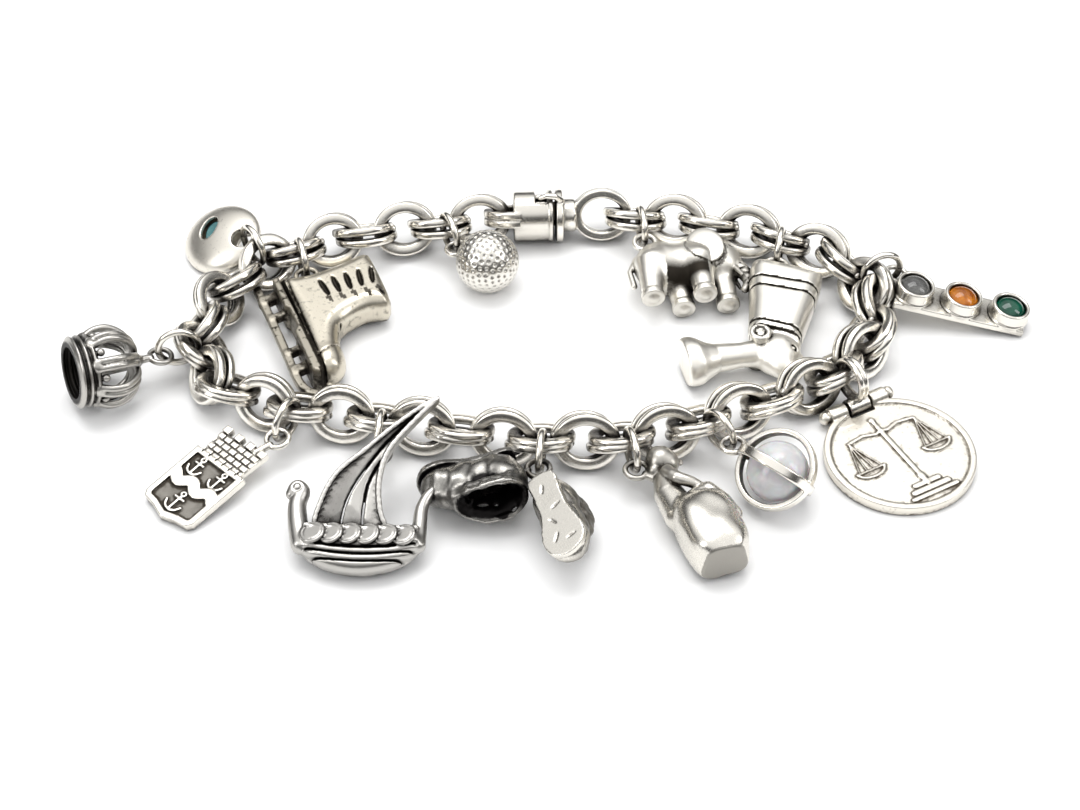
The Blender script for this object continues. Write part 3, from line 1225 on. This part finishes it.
beast = Wax((-2.2, -4.4, -3.8), (12.2, 13.4, 4.2), 0.11)
p = beast.p
beast.lump((4.7, 1.5, 0), (3.7, 3.5, 2.9), 0.1)
beast.lump((4.6, 5.2, 0), (3.4, 3.7, 2.8), 0.8)
beast.lump((4.3, 9.0, 0), (2.7, 2.5, 2.3), 0.5)
trunk = smooth_line([(5.0, 10.4, 0), (6.6, 11.6, 0), (8.2, 11.9, 0), (9.6, 11.2, 0.2)], 3)
beast.bar(trunk, list(np.linspace(1.15, 0.5, len(trunk))), 0.4)
for hip, aside, lean in ((0.2, 1.15, -0.5), (3.2, -1.2, 0.2), (6.0, 1.15, 0.0), (8.6, -1.1, 0.3)):
    toes = hip + lean * 1.3
    beast.bar([(5.2, hip, aside), (8.0, hip + lean, aside), (10.1, toes, aside)], [2.1, 1.5, 1.3], 0.6)
    beast.add(drum(at(p, (10.6, toes, aside), (0, 90, 0)), 1.45, 0.45, 0.15), 0.15)
    beast.cut(hoop(at(p, (9.85, toes, aside), (0, 90, 0)), 1.52, 0.16), 0.15)
ear_edge = np.zeros(p[0].shape, bool)
for side in (1, -1):
    ear = at(p, (3.6, 7.0, side * 2.35), (side * 14, 0, 18))
    beast.add(egg(ear, (3.0, 2.3, 0.5)), 0.06)
    beast.cut(hoop([ear[0], ear[1] * 3.15 / 2.45, ear[2]], 3.15, 0.24), 0.08)
    off_edge = np.abs(np.sqrt((ear[0] / 3.05) ** 2 + (ear[1] / 2.36) ** 2) - 1)
    ear_edge |= (off_edge < 0.06) & (ear[2] * side > -1)
    beast.pit((3.4, 10.2, side * 1.65), (0.3, 0.3, 0.3), 0.12)
    beast.bar([(6.4, 10.4, side * 0.9), (8.0, 11.0, side * 1.3)], [0.34, 0.2], 0.1)
for step in range(5):
    crease = hoop(at(p, (5.9 + step * 0.8, 11.5 + 0.1 * step, 0), (0, 75, 0)), 1.0 - step * 0.1, 0.1)
    beast.cut(crease, 0.12)
beast.bar([(3.2, -1.5, 0), (5.4, -2.6, 0.2), (7.8, -2.4, 0.2)], [0.5, 0.36, 0.42], 0.25)
beast.bar([(0.9, 0.4, 0), (2.2, 1.0, 0)], 0.5, 0.2)
beast.loop()
belly = np.clip((p[0] - 5.2) * 0.6, 0, 1.1) * np.clip((9.2 - p[0]) * 0.8, 0, 1)
belly = belly * (np.abs(p[1] - 4.3) < 2.6)
belly += np.clip((p[1] - 9.2) * 0.3, 0, 0.35) + 0.22 * (p[0] > 10.85) + 0.7 * ear_edge
beast.cast(
    "cast_elephant",
    hung_from("elephant", 15),
    -84,
    3.5,
    0,
    bright_silver,
    "silver",
    ["elephant"],
    stain=belly,
)

# ---------- Dimpled ball ----------
# A hollow ball of pressed silver, its dimples set in rows round the line from pole to pole.
# Its eyelet is soldered on at one pole.

BALL_RADIUS = 3.95 * MM
BALL_DROP = 4.95 * MM  # from the jump ring to the ball's middle
BALL_HEADING, BALL_FALL = -38, -6
DIMPLE_RADIUS, DIMPLE_DEPTH = 0.3 * MM, 0.2 * MM
ROWS = 15
ball_silver = silver(
    "ball_silver", (0.78, 0.755, 0.70), (0.03, 0.026, 0.022), 0.24, 0.5, -0.1, 700, 0.2
)
dimples = []
for row in range(ROWS):
    rise = math.pi * (row + 0.5) / ROWS
    count = max(1, round(2 * ROWS * math.sin(rise)))
    for step in range(count):
        round_by = 2 * math.pi * (step + 0.5 * (row % 2)) / count
        out = math.sin(rise)
        dimples.append((math.cos(rise), out * math.cos(round_by), out * math.sin(round_by)))
ball_tree, ball_inputs = node_tree("dimpled_ball", ("Radius", "Dimple radius", "Dimple depth"))
entry = ball_tree.nodes.new("NodeGroupInput").outputs
sphere = put(ball_tree, "GeometryNodeMeshIcoSphere", Subdivisions=6, Radius=entry["Radius"])
place = put(ball_tree, "GeometryNodeInputPosition")
spot_size = put(
    ball_tree, "ShaderNodeVectorMath", operation="SCALE", Vector=place.outputs[0], Scale=entry["Radius"]
)
spots = put(
    ball_tree, "GeometryNodeSetPosition", Geometry=entry["Geometry"], Position=spot_size.outputs[0]
)
nearness = put(ball_tree, "GeometryNodeProximity", target_element="POINTS")
ball_tree.links.new(spots.outputs[0], nearness.inputs[0])
press = put(
    ball_tree,
    "ShaderNodeMapRange",
    interpolation_type="SMOOTHSTEP",
    Value=nearness.outputs["Distance"],
    From_Min=0,
    From_Max=entry["Dimple radius"],
    To_Min=entry["Dimple depth"],
    To_Max=0,
)
inward = put(ball_tree, "GeometryNodeInputNormal")
sink = put(
    ball_tree, "ShaderNodeVectorMath", operation="SCALE", Vector=inward.outputs[0], Scale=press.outputs[0]
)
pressed = put(ball_tree, "GeometryNodeSetPosition", Geometry=sphere.outputs[0], Offset=sink.outputs[0])
paint(ball_tree, entry, pressed)
shell = grown(
    "pressed_ball",
    dimples,
    ball_tree,
    ball_inputs,
    {
        "Radius": BALL_RADIUS,
        "Dimple radius": DIMPLE_RADIUS,
        "Dimple depth": -DIMPLE_DEPTH,
        "Material": ball_silver,
    },
)
ball_place = hung_from("ball", 20)
ball_turn = turned_by(BALL_HEADING, BALL_FALL)
shell.data.transform(
    Matrix.Translation(ball_place)
    @ Matrix(ball_turn.tolist()).to_4x4()
    @ Matrix.Translation((BALL_DROP, 0, 0))
)
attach(shell, "bracelet")
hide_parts("dimpled_ball")
eyelet = Wax((-2.2, -2.2, -1.4), (2.4, 2.2, 1.4), 0.07)
eyelet.loop(0.05)
eyelet.lump((1.4, 0, 0), (0.6, 0.8, 0.6), 0.2)
eyelet.cast(
    "ball_eyelet", ball_place, BALL_HEADING, BALL_FALL, 0, chain_silver, "silver", ["dimpled_ball"]
)

# ---------- Palette disc ----------
# A plain domed disc with a drilled eye and an oval window near its edge. A piece of turquoise lies
# inside it, set from behind.

DISC_MIDDLE = 3.8
WINDOW = (DISC_MIDDLE + 1.4, -0.6)
PALETTE_LIE = (150, 15, -25)  # heading, fall and roll in degrees
plain = Wax((-3.6, -6.4, -1.2), (DISC_MIDDLE + 7.0, 6.4, 2.8), 0.11)
p = plain.p
disc = egg(at(p, (DISC_MIDDLE, 0, 0)), (5.6, 4.9, 1.95))
hollow = egg(at(p, (DISC_MIDDLE, 0, 0)), (5.0, 4.3, 1.4))
plain.add(np.maximum(disc, -0.45 - p[2]), 0.1)
plain.cut(np.maximum(hollow, 0.0 - p[2]), 0.05)
seat = at(p, (*WINDOW, 0))
plain.cut(drum([seat[0], seat[1] / 1.45, seat[2]], 1.15, 6), 0.15)
plain.cut(drum(p, 1.2, 6), 0.15)
plain.cast(
    "palette_shell", hung_from("palette"), *PALETTE_LIE, medal_silver, "silver", ["palette_disc"]
)
turquoise = glass("turquoise_stone", (0.10, 0.30, 0.31), 0.25, 1.6, 0.0, 0.3, (0.05, 0.16, 0.17))
inlay = Wax((DISC_MIDDLE - 1.2, -3.4, -0.4), (DISC_MIDDLE + 4.0, 2.4, 1.4), 0.08)
spot = at(inlay.p, (*WINDOW, 0.45))
inlay.add(drum([spot[0], spot[1] / 1.5, spot[2]], 0.95, 0.5, 0.2), 0.05)
inlay.cast(
    "turquoise_seat", hung_from("palette"), *PALETTE_LIE, turquoise, "turquoise", ["turquoise_inlay"]
)

# ---------- Ice skate ----------
# A laced skating boot with its runner, cast in the round. The shaft is open, and the blade curls up
# ahead of the toe.

skate_silver = silver(
    "skate_silver", (0.63, 0.585, 0.49), (0.035, 0.03, 0.024), 0.3, 1.8, -0.3, 1500, 1.5
)
boot = Wax((-2.2, -8.0, -3.6), (20.6, 9.6, 3.8), 0.12)
p = boot.p
side_line = [
    (0.9, 8.2), (0.9, 4.0), (1.3, 0.4), (1.0, -2.6), (1.3, -3.9), (5.4, -3.8), (10.0, -3.9),
    (15.4, -4.4), (17.1, -4.0), (17.6, -2.9), (17.0, -1.6), (15.2, -0.7), (12.6, -0.1), (10.8, 0.8),
    (9.8, 2.6), (9.3, 5.0), (9.2, 7.8),
]
side_of = outline(p, smooth_line(side_line, 4, True), turned=True)
boot.add(slab_round(side_of, p[2], 2.4), 0.1)
boot.lump((15.2, -2.4, 0), (2.6, 2.0, 2.3), 0.6)
boot.cut(block(at(p, (5.0, 10.4, 0)), (9, 2.6, 9)), 0.1)
boot.pit((5.0, 8.4, 0), (3.3, 3.0, 1.75), 0.2)
slits = np.zeros(side_of.shape, bool)
for row in range(5):
    rise = 6.7 - row * 1.55
    for side in (1, -1):
        lace = at(p, (7.6 - 0.12 * row, rise, side * 1.75), (side * -32, 0, 18))
        boot.cut(egg(lace, (1.1, 0.36, 0.5)), 0.12)
        tie = at(p, (4.9, rise + 0.2, side * 2.35), (0, 0, -14 + row * 5))
        boot.cut(egg(tie, (1.5, 0.3, 0.45)), 0.12)
        slits |= (egg(lace, (1.1, 0.4, 0.8)) < 0.08) | (egg(tie, (1.4, 0.28, 0.8)) < 0.05)
for row in range(3):
    lace = at(p, (10.6 + row * 1.5, 0.5 - row * 0.42, 0.9), (-40, 0, 60))
    boot.cut(egg(lace, (0.8, 0.25, 0.5)), 0.12)
boot.cut(np.maximum(np.abs(p[1] + 3.0 + 0.03 * p[0]) - 0.1, -boot.depth - 0.25), 0.12)
boot.cut(np.maximum(np.abs(p[0] - 14.0 + 0.35 * p[1]) - 0.1, -boot.depth - 0.2), 0.12)
sole = [
    (0.9, -3.9), (1.0, -4.7), (5.8, -4.7), (6.4, -4.3), (9.6, -4.3), (10.4, -4.9), (17.2, -5.0),
    (17.9, -4.1), (17.4, -3.7), (9.8, -3.7),
]
boot.add(slab(p, outline(p, sole), -2.2, 2.2, 0.25), 0.12)
runner = smooth_line(
    [
        (0.2, -6.5), (6.0, -6.5), (12.0, -6.6), (16.4, -6.7), (18.6, -6.2), (19.7, -4.9), (19.5, -3.8),
        (18.8, -3.6),
    ],
    5,
)
boot.add(slab(p, stroke(p, runner, 1.0), -0.55, 0.55, 0.2), 0.1)
for post, wide in ((2.2, 1.3), (5.4, 0.9), (11.6, 0.9), (14.6, 1.3)):
    prop = stroke(p, [(post, -4.6), (post + 0.4, -6.4)], wide)
    boot.add(slab(p, prop, -0.6, 0.6, 0.2), 0.3)
boot.bar([(0.9, 0, 0), (1.8, 0, 0)], 0.5, 0.2)
boot.loop()
in_shaft = (p[1] > 7.0) & (side_of < -1.0) & (np.abs(p[2]) < 1.7)
grimy = np.clip((-3.3 - p[1]) * 1.6, 0, 0.5) + 0.9 * in_shaft
grimy += 0.9 * slits + 0.8 * (np.abs(p[1] + 3.4 + 0.03 * p[0]) < 0.25)
boot.cast(
    "skating_boot", hung_from("skate"), -67, 3, 0, skate_silver, "dark_silver", ["ice_skate"], stain=grimy
)
